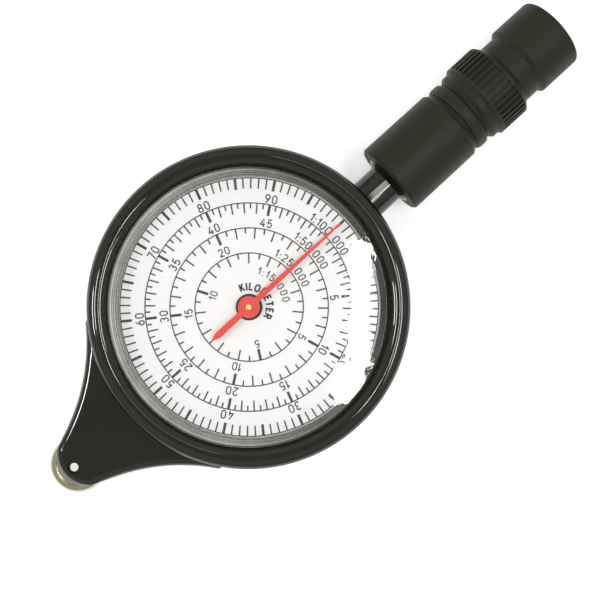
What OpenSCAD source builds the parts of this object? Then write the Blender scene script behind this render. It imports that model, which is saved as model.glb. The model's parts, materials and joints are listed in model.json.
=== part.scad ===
// Map measurer (opisometer): a small metal wheel in the nose rolls along a map, a
// three-stage gear train slows it down, and a needle shows the distance on a dial
// with four scales. The handle turns on its stem, and is a small twist-on torch.
//
// The origin lies on the back of the case, under the centre of the dial. Z points
// out of the dial, the handle points along +Y and the wheel along -Y.
// All lengths are in millimetres and all angles in degrees.

/* [Case] */
// Outer diameter of the round case
case_d = 43.6; // [43:0.1:47]
// Height of the handle axis, and of the joint between the shells, above the back
axis_z = 6; // [5.9:0.1:7]
// Height of the rim that carries the bezel, above the joint between the shells
rim_h = 3.2; // [3.1:0.1:3.6]
// Thickness of the back
back_t = 1.2; // [1:0.1:1.5]
// Thickness of the round side wall
wall_t = 1.5; // [1.2:0.1:1.7]
// Radius of the rounded edge round the back
back_edge_r = 1.6; // [0.8:0.1:2]

/* [Nose] */
// Half of the thickness of the nose
nose_half = 4; // [3.9:0.1:4.2]
// Thickness of the flat faces of the nose
nose_t = 1.2; // [1:0.1:1.3]
// Thickness of the side walls of the nose
nose_wall = 1; // [0.8:0.1:1.1]
// Distance from the wheel axle to the rounded tip
tip_lead = 1.8; // [1.4:0.1:2.2]
// Radius of the rounded tip, seen from above
tip_r = 4.6; // [4:0.1:6]
// Distance from the wheel axle back to where the straight flanks end
flank_len = 3.6; // [3.2:0.05:4.1]
// Half of the width of the nose where the straight flanks end
flank_w = 5; // [4.9:0.05:5.4]
// Angle of the straight flanks to the centre line
flank_a = 23.9; // [22:0.1:25]
// Radius of the hollow flare from the flanks to the wings
flare_r = 27; // [24:0.5:32]
// Angle from the centre line of the nose to the end of each wing
wing_a = 36; // [34:0.5:38]
// How far the wings stand out from the round case
wing_out = 0.9; // [0.5:0.1:1.2]
// Radius of the rounded end of each wing
wing_r = 0.8; // [0.6:0.1:1]
// Radius of the rounding along the edges of the nose
nose_round = 1.2; // [0.6:0.1:1.3]

/* [Crystal and bezel] */
// How far the bezel ring stands out past the round case
bezel_lip = 0.2; // [0.1:0.05:0.5]
// Width of the bezel ring
bezel_w = 2.95; // [2.8:0.05:3.1]
// Height of the bezel ring above its rim
bezel_h = 3; // [2.9:0.1:3.4]
// Radius of the rounded crown of the bezel ring
bezel_crown_r = 1.6; // [1.56:0.02:2]
// Height of the crystal, from its foot to its flat top
crystal_h = 2.9; // [2.8:0.1:3.1]
// Thickness of the flat top of the crystal
crystal_t = 1.2; // [0.9:0.1:1.3]
// Thickness of the round wall of the crystal
crystal_wall = 1.05; // [0.8:0.05:1.2]
// Thickness of the foot of the crystal, which the bezel holds down
foot_t = 0.9; // [0.7:0.1:1]
// Width of the bevel round the top of the crystal
crystal_bevel = 0.3; // [0.1:0.1:0.5]

/* [Dial] */
// Thickness of the dial
dial_t = 0.4; // [0.3:0.05:0.5]
// Diameter of the hole in the middle of the dial
dial_hole_d = 3.7; // [3.2:0.1:4]
// Gap between the edge of the dial and the outer scale's circle
dial_margin = 0.15; // [0.1:0.05:0.3]
// Step from one scale's circle to the next
scale_step = 3.44; // [3.2:0.02:3.6]
// Width of the circles
circle_w = 0.16; // [0.1:0.02:0.24]
// Width of a thin tick
tick_w = 0.2; // [0.12:0.02:0.26]
// Width of a thick tick
bold_w = 0.37; // [0.3:0.01:0.45]
// Length of a whole tick
tick_l = 1.45; // [1.2:0.05:1.6]
// Length of a half tick
half_l = 0.75; // [0.5:0.05:1]
// Length of a thick tick
bold_l = 1.55; // [1.3:0.05:1.8]
// Thickness of the printed scales
ink_t = 0.04; // [0.02:0.01:0.08]

/* [Needle] */
// Length of the needle from its axis to its tip
needle_l = 16.8; // [15:0.1:17.2]
// Length of the tail
tail_l = 7; // [5:0.1:9]
// Thickness of the needle
needle_t = 0.25; // [0.2:0.05:0.4]
// Width of the needle beside its hub
needle_w = 0.9; // [0.6:0.02:1]
// Width of the needle at its tip
needle_tip_w = 0.28; // [0.1:0.02:0.4]
// Width of the tail beside the hub
tail_w = 0.8; // [0.6:0.02:1]
// Width of the tail where its point starts
tail_end_w = 0.94; // [0.8:0.02:1.2]
// Length of the point of the tail
tail_point_l = 1.3; // [0.8:0.1:1.6]
// Diameter of the needle's hub
hub_d = 3; // [2.4:0.1:3.2]
// Thickness of the needle's hub
hub_t = 0.6; // [0.5:0.05:0.7]
// Gap between the dial and the needle's hub
hub_gap = 0.75; // [0.5:0.05:0.8]

/* [Gear train] */
// Length on the map for one turn of the needle
map_turn = 1000; // [940:5:1060]
// Module of the wheel's pinion and the first gear
first_m = 0.3; // [0.28:0.01:0.31]
// Module of the first pinion and the second gear
second_m = 0.52; // [0.48:0.01:0.54]
// Module of the second pinion and the centre gear
centre_m = 0.575; // [0.56:0.005:0.585]
// Sideways offset of the second gear from the centre line
second_x = 0.8; // [0.2:0.1:1.2]
// Pressure angle of the teeth
press_a = 25; // [22:1:26]
// Height of a tooth above its pitch circle, in modules
addendum = 0.8; // [0.7:0.02:0.85]
// Depth of a tooth below its pitch circle, in modules
dedendum = 1.05; // [0.95:0.01:1.1]
// Backlash taken off the thickness of each tooth
backlash = 0.04; // [0.03:0.005:0.06]
// Thickness of the gears
gear_t = 0.65; // [0.5:0.05:0.7]
// Thickness of the bearing plate under the dial
plate_t = 1; // [0.8:0.1:1.1]
// Diameter of the steel arbors of the first and second gears
arbor_d = 1; // [0.8:0.1:1.1]
// Diameter of the needle's arbor
needle_arbor_d = 0.8; // [0.7:0.05:0.9]
// Wall of the bosses and hubs round the arbors
hub_wall = 0.9; // [0.7:0.1:1]

/* [Measuring wheel] */
// Width of the rim
rim_w = 2; // [1.6:0.1:2.1]
// Width of the flat tread between the bevels of the rim
tread_w = 1; // [0.6:0.1:1.4]
// Bevel at each side of the tread, taken off the radius
tread_bevel = 0.35; // [0.2:0.05:0.5]
// Diameter of the wheel's axle
axle_d = 1.16; // [1:0.02:1.2]
// Diameter of the recess round each end of the axle
axle_recess_d = 1.7; // [1.6:0.1:2.2]
// Depth of the recess round each end of the axle
axle_recess_h = 0.5; // [0.3:0.05:0.6]

/* [Stem] */
// Diameter of the polished stem
stem_d = 5.74; // [5.4:0.02:5.8]
// Diameter of the neck that turns in the case
neck_d = 3.4; // [3:0.1:3.6]
// Diameter of the head that keeps the stem in the case
stem_head_d = 4.4; // [4.2:0.1:4.5]
// Thickness of the head
stem_head_t = 1; // [0.8:0.1:1.1]
// Length of the journal in the case that the neck turns in
journal_l = 3.3; // [3:0.1:3.4]
// Depth of the recess in the case round the stem
stem_seat = 0.8; // [0.6:0.1:0.9]
// Length of the stem between the round case and the torch
stem_l = 4.6; // [3.6:0.1:8]
// Length of the flare in front of the torch
flare_l = 0.65; // [0.4:0.05:1]
// Diameter of the plug inside the torch
plug_d = 7.6; // [7.2:0.1:7.8]
// Length of the plug
plug_l = 8.6; // [7:0.1:8.8]
// Thickness of the rubber ring in the plug
ring_t = 1.1; // [0.9:0.05:1.3]
// Distance from the end of the plug to the middle of its rubber ring
ring_back = 4; // [2.5:0.1:5]

/* [Torch] */
// Diameter of the torch at its near end
barrel_d = 10.86; // [10.4:0.02:11.2]
// Diameter of the torch where its bevel starts
barrel_end_d = 10.72; // [10.3:0.02:11.2]
// Length of the barrel up to its bevel
barrel_l = 11.3; // [10.9:0.1:13]
// Length of the bevel at the end of the barrel
bevel_l = 0.7; // [0.5:0.05:0.9]
// Diameter of the groove that the band ring lies in
groove_d = 9.7; // [9.4:0.05:9.9]
// Length of the groove beside the bevel of the barrel
groove_l = 2.4; // [2.3:0.05:2.8]
// Diameter of the band ring
band_d = 10.5; // [10.2:0.05:10.8]
// Thickness of the band ring
band_t = 1.3; // [1.1:0.05:1.4]
// Width of the band ring, along the torch
band_w = 2; // [1.5:0.05:2.2]
// Bevel round the mouth of the barrel
mouth_bevel = 0.3; // [0.1:0.05:0.5]
// Wall of the spigot that the torch's head turns on
spigot_wall = 0.8; // [0.7:0.05:0.85]
// Length of the spigot
spigot_l = 5.9; // [5.5:0.1:6]
// Thickness of the partition between the stem's plug and the cells
partition_t = 0.8; // [0.6:0.1:1]
// Diameter of a button cell
cell_d = 6.8; // [6.4:0.1:6.9]
// Height of a button cell
cell_h = 2.6; // [2.1:0.1:2.6]
// Bevel round the edges of a button cell
cell_bevel = 0.25; // [0.1:0.05:0.4]

/* [Torch head] */
// Diameter of the ribbed collar
collar_d = 11.6; // [11.2:0.1:12]
// Length of the ribbed collar, between its bevels
collar_l = 4.35; // [4.2:0.05:6]
// Length of the plain step in front of the collar
step_l = 0.85; // [0.4:0.05:1.2]
// Length of the bevel behind the plain step
step_bevel = 0.55; // [0.3:0.05:0.9]
// Number of ribs round the collar
ribs = 40; // [24:1:48]
// Depth of the grooves between the ribs
rib_h = 0.22; // [0.1:0.02:0.25]
// Width of a rib at its crest
rib_w = 0.26; // [0.16:0.02:0.4]
// Sideways run of each flank of a rib
rib_flank = 0.08; // [0.04:0.02:0.1]
// Length of the plain bands at the two ends of the ribs
rib_land = 0.3; // [0.2:0.05:0.6]
// Diameter of the waist behind the collar
waist_d = 9.56; // [9.4:0.02:10.2]
// Length of the bevel between the collar and the waist
collar_bevel = 0.85; // [0.5:0.05:1.2]
// Length of the waist
waist_l = 2.5; // [1.5:0.05:3.5]
// Length of the bevel between the waist and the front
front_bevel = 0.6; // [0.4:0.05:1.6]
// Diameter of the front
front_d = 10.74; // [10.4:0.02:11.4]
// Length of the front
front_l = 6.2; // [5.5:0.1:8]
// Radius of the rounded edge of the front
front_edge_r = 0.5; // [0.3:0.05:0.6]
// Diameter of the opening for the reflector and the lens
lens_d = 9.1; // [8.6:0.1:9.3]
// Thickness of the lens
lens_t = 1; // [0.8:0.1:1.3]
// How far the lens lies behind the end of the torch
lens_inset = 0.4; // [0.2:0.05:0.6]
// Diameter of the circuit board
board_d = 7.7; // [7.2:0.1:7.8]
// Thickness of the circuit board
board_t = 0.8; // [0.6:0.1:1]
// Diameter of the light-emitting diode
led_d = 3; // [2.6:0.1:3.2]
// Height of the light-emitting diode up to the centre of its dome
led_h = 3; // [2.5:0.1:3.4]
// Thickness of the reflector's wall at its rim
reflector_wall = 0.35; // [0.3:0.05:0.5]

/* [Screws] */
// Diameter of the screws' shanks
screw_d = 1.3; // [1.1:0.1:1.4]
// Diameter of the screws' heads
screw_head_d = 2.4; // [2:0.1:2.5]
// Thickness of the screws' heads
screw_head_t = 0.9; // [0.6:0.05:0.9]
// Diameter of the heads of the screws through the bearing plate
plate_head_d = 2; // [1.8:0.1:2.2]
// Thickness of the heads of the screws through the bearing plate
plate_head_t = 0.5; // [0.3:0.05:0.5]
// Wall round the screws
post_wall = 0.7; // [0.6:0.05:0.8]
// Width of the slots in the screws' heads
slot_w = 0.4; // [0.3:0.05:0.5]
// Depth of the slots in the screws' heads
slot_h = 0.3; // [0.2:0.05:0.4]

/* [Fits] */
// Radial clearance of everything that turns or slides
run_gap = 0.05; // [0.03:0.01:0.08]
// Gap between fixed parts that are put together by hand
fit_gap = 0.05; // [0.03:0.01:0.1]
// End play of the gears and the wheel
end_play = 0.1; // [0.06:0.01:0.15]

/* [Hidden] */
// Name of every part
// The part to draw

// Circles are drawn with this many sides
$fn = 96;
// Cutters reach this far past the faces that they cut
over = 1;
// A rounding meets its two faces at a small angle, because its circle is larger by this
round_ease = 0.02;

// Round case
case_r = case_d / 2;
case_in_r = case_r - wall_t;
rim_z = axis_z + rim_h;

// Dial and the parts that it lies on, from the ledge of the front shell down
ledge_t = 0.6;
ledge_z = rim_z - 0.1;
dial_z = ledge_z - ledge_t;
plate_z = dial_z - plate_t;
dial_top = dial_z + dial_t;

// Crystal and bezel
bezel_r = case_r + bezel_lip;
bezel_in_r = bezel_r - bezel_w;
bezel_top = rim_z + bezel_h;
crystal_r = bezel_in_r - fit_gap;
crystal_in_r = crystal_r - crystal_wall;
crystal_foot_w = 1.2;
foot_r = crystal_r + crystal_foot_w;
bezel_cut_r = foot_r + fit_gap;
bezel_cut_top = ledge_z + foot_t + fit_gap;
dial_r = crystal_in_r - fit_gap / 2;
ledge_in_r = dial_r + fit_gap;

// Scales, from the outer one to the inner one: ticks for the whole numbers, whether
// there are half ticks, and the place of the thick ticks
outer_r = dial_r - dial_margin;
SCALES = [[100, false, 5], [50, true, 5], [25, true, 5], [15, true, 5]];

// Gear train: tooth counts, centre distances and places of the arbors
wheel_teeth = 9;
first_teeth = 24;
pinion_teeth = 10;
second_teeth = 30;
centre_teeth = 50;
first_cd = first_m * (wheel_teeth + first_teeth) / 2;
second_cd = second_m * (pinion_teeth + second_teeth) / 2;
centre_cd = centre_m * (pinion_teeth + centre_teeth) / 2;
second_y = -sqrt(pow(centre_cd, 2) - pow(second_x, 2));
first_y = second_y - sqrt(pow(second_cd, 2) - pow(second_x, 2));
wheel_y = first_y - first_cd;
WHEEL = [0, wheel_y];
FIRST = [0, first_y];
SECOND = [second_x, second_y];
CENTRE = [0, 0];
reduction = first_teeth * second_teeth * centre_teeth / (wheel_teeth * pinion_teeth * pinion_teeth);
wheel_r = map_turn / (2 * PI * reduction);

// Heights of the gears, from the nose's floor up
nose_floor = axis_z - nose_half + nose_t;
nose_roof = axis_z + nose_half - nose_t;
pad_t = 0.1;
wheel_pinion_z = nose_floor + pad_t + end_play;
wheel_pinion_t = gear_t + 0.25;
wheel_hub_z = wheel_pinion_z + wheel_pinion_t;
slot_half = 1.5;
wheel_hub_top = axis_z + slot_half - end_play;
first_gear_z = wheel_pinion_z + 0.05;
first_pinion_z = first_gear_z + gear_t;
first_top = first_pinion_z + gear_t + 0.35;
second_gear_z = first_pinion_z + 0.2;
second_pinion_z = second_gear_z + gear_t;
second_top = plate_z - end_play;
centre_gear_z = second_top - gear_t - 0.5;
centre_hub_z = centre_gear_z - 0.2;
centre_top = plate_z - end_play;

// Place of the wheel's rim, which clears the first pinion beside it
rim_z0 = first_top + end_play;
rim_mid = rim_z0 + rim_w / 2;

// Wheel and axle
axle_r = axle_d / 2;
arbor_r = arbor_d / 2;
needle_arbor_r = needle_arbor_d / 2;
slot_y = wheel_y + 0.7 * wheel_r;
axle_bottom = axis_z - nose_half + axle_recess_h;
axle_top = axis_z + nose_half - axle_recess_h;
wheel_hub_r = axle_r + run_gap + hub_wall;
web_t = rim_w - 0.8;
web_in_r = wheel_r - 0.9;
tip_r_of_wheel_pinion = tip_radius(first_m, wheel_teeth);
tip_r_of_first_gear = tip_radius(first_m, first_teeth);
gear_gap = 0.2;

// Needle
needle_hub_z = dial_top + hub_gap;
needle_z = needle_hub_z + (hub_t - needle_t) / 2;
needle_arbor_top = needle_hub_z + hub_t + 0.1;
centre_boss_r = needle_arbor_r + run_gap + hub_wall;
pivot_z = back_t + 0.7;

// Stem, from the case outwards along +Y
stem_r = stem_d / 2;
neck_r = neck_d / 2;
journal_r = neck_r + run_gap;
stem_in_y = case_r - stem_seat;
journal_in_y = stem_in_y - journal_l;
stem_head_y = journal_in_y - run_gap - stem_head_t;
stem_start_y = stem_in_y + run_gap;
torch_y = case_r + stem_l;
torch_gap = 0.05;
flare_end_y = torch_y - torch_gap;
flare_y = flare_end_y - flare_l;
plug_r = plug_d / 2;
plug_end_y = torch_y + plug_l;
ring_y = plug_end_y - ring_back;
cradle_w = stem_d + 0.7;

// Torch barrel
mouth_r = plug_r + run_gap;
partition_y = plug_end_y + 0.3;
cell_space_y = partition_y + partition_t;
cell_space_r = cell_d / 2 + 0.1;
bevel_y = torch_y + barrel_l;
groove_y = bevel_y + bevel_l;
head_y = groove_y + groove_l;
barrel_end_y = head_y - fit_gap;
spigot_r = cell_space_r + spigot_wall;
spigot_end_y = head_y + spigot_l;
groove_r = groove_d / 2;
band_y = groove_y + groove_l / 2;
band_seat_r = band_d / 2 - band_t;

// Cells and their contacts
contact_l = 1.9;
cells_y = cell_space_y + contact_l;
cells_end_y = cells_y + 3 * cell_h;
contact_gap = 0.1;

// Torch head
head_bevel_y = head_y + 0.15;
step_y = head_bevel_y + step_bevel;
collar_y = step_y + step_l;
collar_full_y = collar_y + 0.45;
collar_end_y = collar_full_y + collar_l;
waist_y = collar_end_y + collar_bevel;
waist_end_y = waist_y + waist_l;
front_y = waist_end_y + front_bevel;
front_end_y = front_y + front_l;
spigot_bore_r = spigot_r + run_gap;
board_y = spigot_end_y + 0.3;
board_seat_r = board_d / 2 + 0.05;
lens_seat_r = lens_d / 2;
lens_y = front_end_y - lens_inset - lens_t;
reflector_y = waist_end_y + 0.15;
reflector_r = lens_seat_r - fit_gap;
led_r = led_d / 2;
led_flange_r = led_r + 0.4;
led_flange_t = 0.5;

// Screws
screw_r = screw_d / 2;
post_r = screw_r + post_wall;
PLATE_SCREW_ANGLES = [38, 142, 218, 322];
plate_screw_ring_r = case_in_r - post_r - 0.4;
plate_r = case_in_r - 0.4;
case_screw_ring_r = case_in_r - post_r + 0.1;
stem_screw_a = asin((cradle_w / 2 + post_r + 0.1) / case_screw_ring_r);
nose_screw_a = 37;
CASE_SCREWS = [for (a = [90 - stem_screw_a, 90 + stem_screw_a, nose_screw_a - 90, -90 - nose_screw_a])
    polar(case_screw_ring_r, a)];
post_gap = 0.3;
notch_w = 2 * (CASE_SCREWS[0].x + post_r + post_gap);
notch_y = stem_head_y - 0.6;
head_recess = 0.1;
screw_top = dial_z - 0.5;
plate_screw_l = 4;

// Nose outline: end of the straight flank, end of the flare, and centre of the flare
nose_tip_y = wheel_y - tip_lead;
flank_y = wheel_y + flank_len;
wing_edge_a = -49;
WING = polar(case_r + wing_out - wing_r, -90 + wing_a);
FLANK = [flank_w, flank_y];
WING_EDGE = WING + polar(wing_r, wing_edge_a);
FLARE = arc_centre(FLANK, WING_EDGE, flare_r);

// Point at a radius and an angle
function polar(r, a) = [r * cos(a), r * sin(a)];
// Centre of the arc from p to q, on the right of the way from p to q
function arc_centre(p, q, r) =
    let (m = (p + q) / 2, v = q - p, h = sqrt(pow(r, 2) - pow(norm(v) / 2, 2)))
    m + h * [v.y, -v.x] / norm(v);
// Direction from one point to another
function heading(p, q) = atan2(q.y - p.y, q.x - p.x);
// Involute function, in degrees
function inv(a) = tan(a) * 180 / PI - a;
// Radius of a gear over its teeth
function tip_radius(m, z) = m * z / 2 + addendum * m;
// Radius of a gear's base circle
function base_r(m, z) = m * z / 2 * cos(press_a);
// Half of the angle that a tooth takes at a radius
function half_tooth(m, z, r) =
    let (c = min(1, base_r(m, z) / r))
    90 / z - backlash / (m * z) * 180 / PI + inv(press_a) - inv(acos(c));
// Phase of gear b that meshes with gear a, whose teeth are centred on phase_a
function mesh_phase(dir, phase_a, z_a, z_b) = dir + 180 + 180 / z_b - (phase_a - dir) * z_a / z_b;
// Outline of one tooth
function tooth(m, z, a) =
    let (rp = m * z / 2, rt = rp + addendum * m, rr = rp - dedendum * m, rb = max(base_r(m, z), rr + 0.01))
    let (radii = [rr, rb, (rb + rp) / 2, rp, (rp + rt) / 2, rt])
    concat(
        [for (r = radii) polar(r, a - half_tooth(m, z, max(r, rb)))],
        [for (i = [len(radii) - 1 : -1 : 0]) polar(radii[i], a + half_tooth(m, z, max(radii[i], rb)))]
    );

first_phase = mesh_phase(heading(WHEEL, FIRST), 0, wheel_teeth, first_teeth);
second_phase = mesh_phase(heading(FIRST, SECOND), 0, pinion_teeth, second_teeth);
centre_phase = mesh_phase(heading(SECOND, CENTRE), 0, pinion_teeth, centre_teeth);

case_color = "#1f211d";
matte_color = "#33352f";
steel_color = "#b9bbbd";
brass_color = "#c8a557";
dial_color = "#f4f4f0";
ink_color = "#4a4440";
needle_color = "#e1614f";
rubber_color = "#222222";

// Turns a profile that is drawn with its radius along X and its place along Y
// round the axis of the handle
module round_handle() {
    translate([0, 0, axis_z]) rotate([-90, 0, 0]) rotate_extrude() children();
}

// Bar along the axis of the handle, from one place on it to another
module handle_bar(r, y0, y1) {
    translate([0, y0, axis_z]) rotate([-90, 0, 0]) cylinder(r = r, h = y1 - y0);
}

// Disc or pin that stands on a height, at a place in plan
module pin(at, r, z0, z1) {
    translate([at.x, at.y, z0]) cylinder(r = r, h = z1 - z0);
}

// Spur gear without its bore, at a place in plan
module gear_blank(at, m, z, phase, z0, z1) {
    translate([at.x, at.y, z0]) linear_extrude(z1 - z0)
        polygon([for (i = [0 : z - 1]) each tooth(m, z, phase + 360 * i / z)]);
}

// Plan of the nose, with its flanks set in by the thickness of a wall
module nose_plan(inset) {
    dir = [sin(flank_a), cos(flank_a)];
    side = inset * [cos(flank_a), -sin(flank_a)];
    start = FLANK - side;
    back = start - (flank_y - nose_tip_y + over) / cos(flank_a) * dir;
    wing = WING_EDGE + inset * (WING_EDGE - FLARE) / norm(WING_EDGE - FLARE);
    difference() {
        polygon([
            [-back.x, back.y], back, start, wing, [wing.x / 2, 0],
            [-wing.x / 2, 0], [-wing.x, wing.y], [-start.x, start.y]
        ]);
        for (s = [-1, 1]) translate([s * FLARE.x, FLARE.y]) circle(r = flare_r + inset, $fn = 4 * $fn);
        difference() {
            translate([-case_r, nose_tip_y - case_r]) square([case_d, case_r + tip_lead]);
            translate([0, nose_tip_y + tip_r]) circle(r = tip_r);
        }
    }
}

// Section of what a rounded edge takes off, with the sharp edge at the origin
module edge_cut() {
    difference() {
        translate([-over, -nose_round]) square(nose_round + over);
        translate([nose_round, -nose_round]) circle(r = nose_round + round_ease);
    }
}

// One half of the nose, from the joint between the shells up, with its rounded edges
module half_nose() {
    difference() {
        union() {
            linear_extrude(nose_half) nose_plan(0);
            for (s = [-1, 1]) translate([s * WING.x, WING.y]) cylinder(r = wing_r, h = nose_half);
        }
        translate([0, 0, nose_half]) {
            for (s = [0, 1]) mirror([s, 0, 0]) {
                translate(FLARE) rotate_extrude($fn = 4 * $fn) translate([flare_r, 0]) edge_cut();
                translate(FLANK) rotate([90, 0, -flank_a]) linear_extrude(case_r) mirror([1, 0]) edge_cut();
            }
            intersection() {
                translate([0, nose_tip_y + tip_r]) rotate_extrude($fn = 2 * $fn)
                    translate([tip_r, 0]) mirror([1, 0]) edge_cut();
                translate([-case_r, nose_tip_y - over, -2 * nose_round])
                    cube([case_d, tip_lead + nose_round / 2 + over, 2 * nose_round + 2 * over]);
            }
        }
    }
}

// Room inside one half of the nose, and the slot that the wheel stands in
module half_nose_room() {
    intersection() {
        translate([0, 0, -over]) linear_extrude(nose_half - nose_t + over) nose_plan(nose_wall);
        translate([-case_r, slot_y, -over]) cube([case_d, case_r, nose_half]);
    }
    translate([-case_r, slot_y - case_r, -over]) cube([case_d, case_r + over, slot_half + over]);
}

// Hole through one half of the nose for the wheel's axle, with its recess
module half_axle_hole() {
    translate([WHEEL.x, WHEEL.y, 0]) cylinder(r = axle_r, h = nose_half + over);
    translate([WHEEL.x, WHEEL.y, nose_half - axle_recess_h]) cylinder(d = axle_recess_d, h = over);
}

// Room for the neck, the head and the seat of the stem
module stem_room() {
    handle_bar(journal_r, journal_in_y - over, case_r);
    handle_bar(stem_r + run_gap, stem_in_y, case_r + over);
}

// Screw with a slotted head, drawn with its head down
module slotted_screw(shank_r, head_r, head_t, length) {
    difference() {
        union() {
            cylinder(r = head_r, h = head_t);
            cylinder(r = shank_r, h = length);
        }
        translate([-slot_w / 2, -head_r - over, -over]) cube([slot_w, 2 * (head_r + over), slot_h + over]);
    }
}

// ---- Case ----

module rear_shell() {
    color(case_color) {
        difference() {
            union() {
                rotate_extrude($fn = 2 * $fn) rear_profile();
                translate([0, 0, axis_z]) mirror([0, 0, 1]) half_nose();
            }
            translate([0, 0, back_t]) cylinder(r = case_in_r, h = axis_z, $fn = 2 * $fn);
            translate([0, 0, axis_z]) mirror([0, 0, 1]) {
                half_nose_room();
                half_axle_hole();
            }
            pinion_pocket();
            stem_room();
            pin(FIRST, arbor_r, nose_floor - nose_t / 2, axis_z);
            for (at = CASE_SCREWS) {
                pin(at, screw_head_d / 2 + fit_gap, -over, head_recess + screw_head_t);
                pin(at, screw_r, 0, axis_z);
            }
        }
        rear_bosses();
        rear_screw_posts();
        stem_cradle(back_t, axis_z);
    }
}

// Section of the round part of the rear shell
module rear_profile() {
    translate([0, back_edge_r]) square([case_r, axis_z - back_edge_r]);
    square([case_r - back_edge_r, back_edge_r]);
    translate([case_r - back_edge_r, back_edge_r]) circle(r = back_edge_r);
}

// Room in the tip of the rear shell for the wheel's pinion and the first gear
module pinion_pocket() {
    pocket_r = tip_r_of_wheel_pinion + gear_gap;
    translate([-pocket_r, nose_tip_y - over, nose_floor])
        cube([2 * pocket_r, FIRST.y - nose_tip_y + over, axis_z - nose_floor]);
    pin(FIRST, tip_r_of_first_gear + gear_gap, nose_floor, axis_z);
}

// Bosses that carry the arbors
module rear_bosses() {
    difference() {
        pin(CENTRE, centre_boss_r, back_t, centre_hub_z - end_play);
        pin(CENTRE, needle_arbor_r + run_gap, pivot_z, axis_z);
    }
    difference() {
        pin(SECOND, arbor_r + hub_wall, back_t, second_gear_z - end_play);
        pin(SECOND, arbor_r, pivot_z, axis_z);
    }
    difference() {
        pin(WHEEL, axle_r + hub_wall / 2, nose_floor, wheel_pinion_z - end_play);
        pin(WHEEL, axle_r, 0, axis_z);
    }
    difference() {
        pin(FIRST, arbor_r + hub_wall, nose_floor, first_gear_z - end_play);
        pin(FIRST, arbor_r, 0, axis_z);
    }
}

// Posts under the bearing plate, and posts round the screws that join the shells
module rear_screw_posts() {
    for (a = PLATE_SCREW_ANGLES) difference() {
        pin(polar(plate_screw_ring_r, a), post_r, back_t, plate_z);
        pin(polar(plate_screw_ring_r, a), screw_r, plate_z - plate_screw_l, plate_z + over);
    }
    for (at = CASE_SCREWS) difference() {
        pin(at, post_r, back_t, axis_z);
        pin(at, screw_r, 0, axis_z + over);
    }
}

// Block that half of the stem's journal is cut in, from one height to another
module stem_cradle(z0, z1) {
    difference() {
        intersection() {
            translate([-cradle_w / 2, journal_in_y, z0]) cube([cradle_w, case_r, z1 - z0]);
            cylinder(r = case_in_r + wall_t / 2, h = rim_z);
        }
        stem_room();
    }
}

module front_shell() {
    color(case_color) {
        difference() {
            union() {
                translate([0, 0, axis_z]) cylinder(r = case_r, h = rim_h, $fn = 2 * $fn);
                translate([0, 0, axis_z]) half_nose();
            }
            translate([0, 0, axis_z - over]) cylinder(r = case_in_r, h = dial_z - axis_z + over, $fn = 2 * $fn);
            cylinder(r = ledge_in_r, h = rim_z + over, $fn = 2 * $fn);
            translate([0, 0, ledge_z]) cylinder(r = bezel_cut_r, h = rim_h, $fn = 2 * $fn);
            translate([0, 0, rim_z]) cylinder(r = bezel_r + fit_gap, h = nose_half, $fn = 2 * $fn);
            translate([0, 0, axis_z]) {
                half_nose_room();
                half_axle_hole();
            }
            stem_room();
        }
        difference() {
            pin(FIRST, arbor_r + hub_wall, rim_z0 + rim_w + end_play, nose_roof);
            pin(FIRST, arbor_r, first_top, nose_roof + over);
        }
        for (at = CASE_SCREWS) difference() {
            pin(at, post_r, axis_z, dial_z);
            pin(at, screw_r, 0, screw_top);
        }
        stem_cradle(axis_z, dial_z);
    }
}

module bezel_ring() {
    color(case_color) rotate_extrude($fn = 2 * $fn) difference() {
        intersection() {
            translate([bezel_in_r, rim_z]) square([bezel_w, bezel_h]);
            union() {
                translate([bezel_in_r, rim_z]) square([bezel_w, bezel_h - bezel_crown_r + 0.3]);
                translate([bezel_in_r + bezel_w / 2, bezel_top - bezel_crown_r]) circle(r = bezel_crown_r);
            }
        }
        translate([bezel_in_r - over, rim_z - over]) square([bezel_cut_r - bezel_in_r + over, bezel_cut_top - rim_z + over]);
    }
}

module crystal() {
    top = ledge_z + crystal_h;
    color("white", 0.3) rotate_extrude($fn = 2 * $fn) polygon([
        [0, top - crystal_t], [crystal_in_r, top - crystal_t], [crystal_in_r, ledge_z],
        [foot_r, ledge_z], [foot_r, ledge_z + foot_t], [crystal_r, ledge_z + foot_t],
        [crystal_r, top - crystal_bevel], [crystal_r - crystal_bevel, top], [0, top]
    ]);
}

// ---- Dial ----

module dial_plate() {
    color(dial_color) difference() {
        pin(CENTRE, dial_r, dial_z, dial_top);
        pin(CENTRE, dial_hole_d / 2, 0, dial_top + over);
    }
}

// One printed scale: its circle, with its ticks on the inside
module dial_scale(i) {
    r = outer_r - i * scale_step;
    count = SCALES[i][0];
    color(ink_color) translate([0, 0, dial_top]) linear_extrude(ink_t) {
        difference() {
            circle(r = r + circle_w / 2);
            circle(r = r - circle_w / 2);
        }
        for (k = [0 : count - 1]) {
            bold = k % SCALES[i][2] == 0;
            tick(r, 90 - 360 * k / count, bold ? bold_w : tick_w, bold ? bold_l : tick_l);
            if (SCALES[i][1]) tick(r, 90 - 360 * (k + 0.5) / count, tick_w, half_l);
        }
    }
}

// One tick that points inwards from a radius
module tick(r, a, w, l) {
    rotate([0, 0, a]) translate([r - l, -w / 2]) square([l, w]);
}

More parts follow.
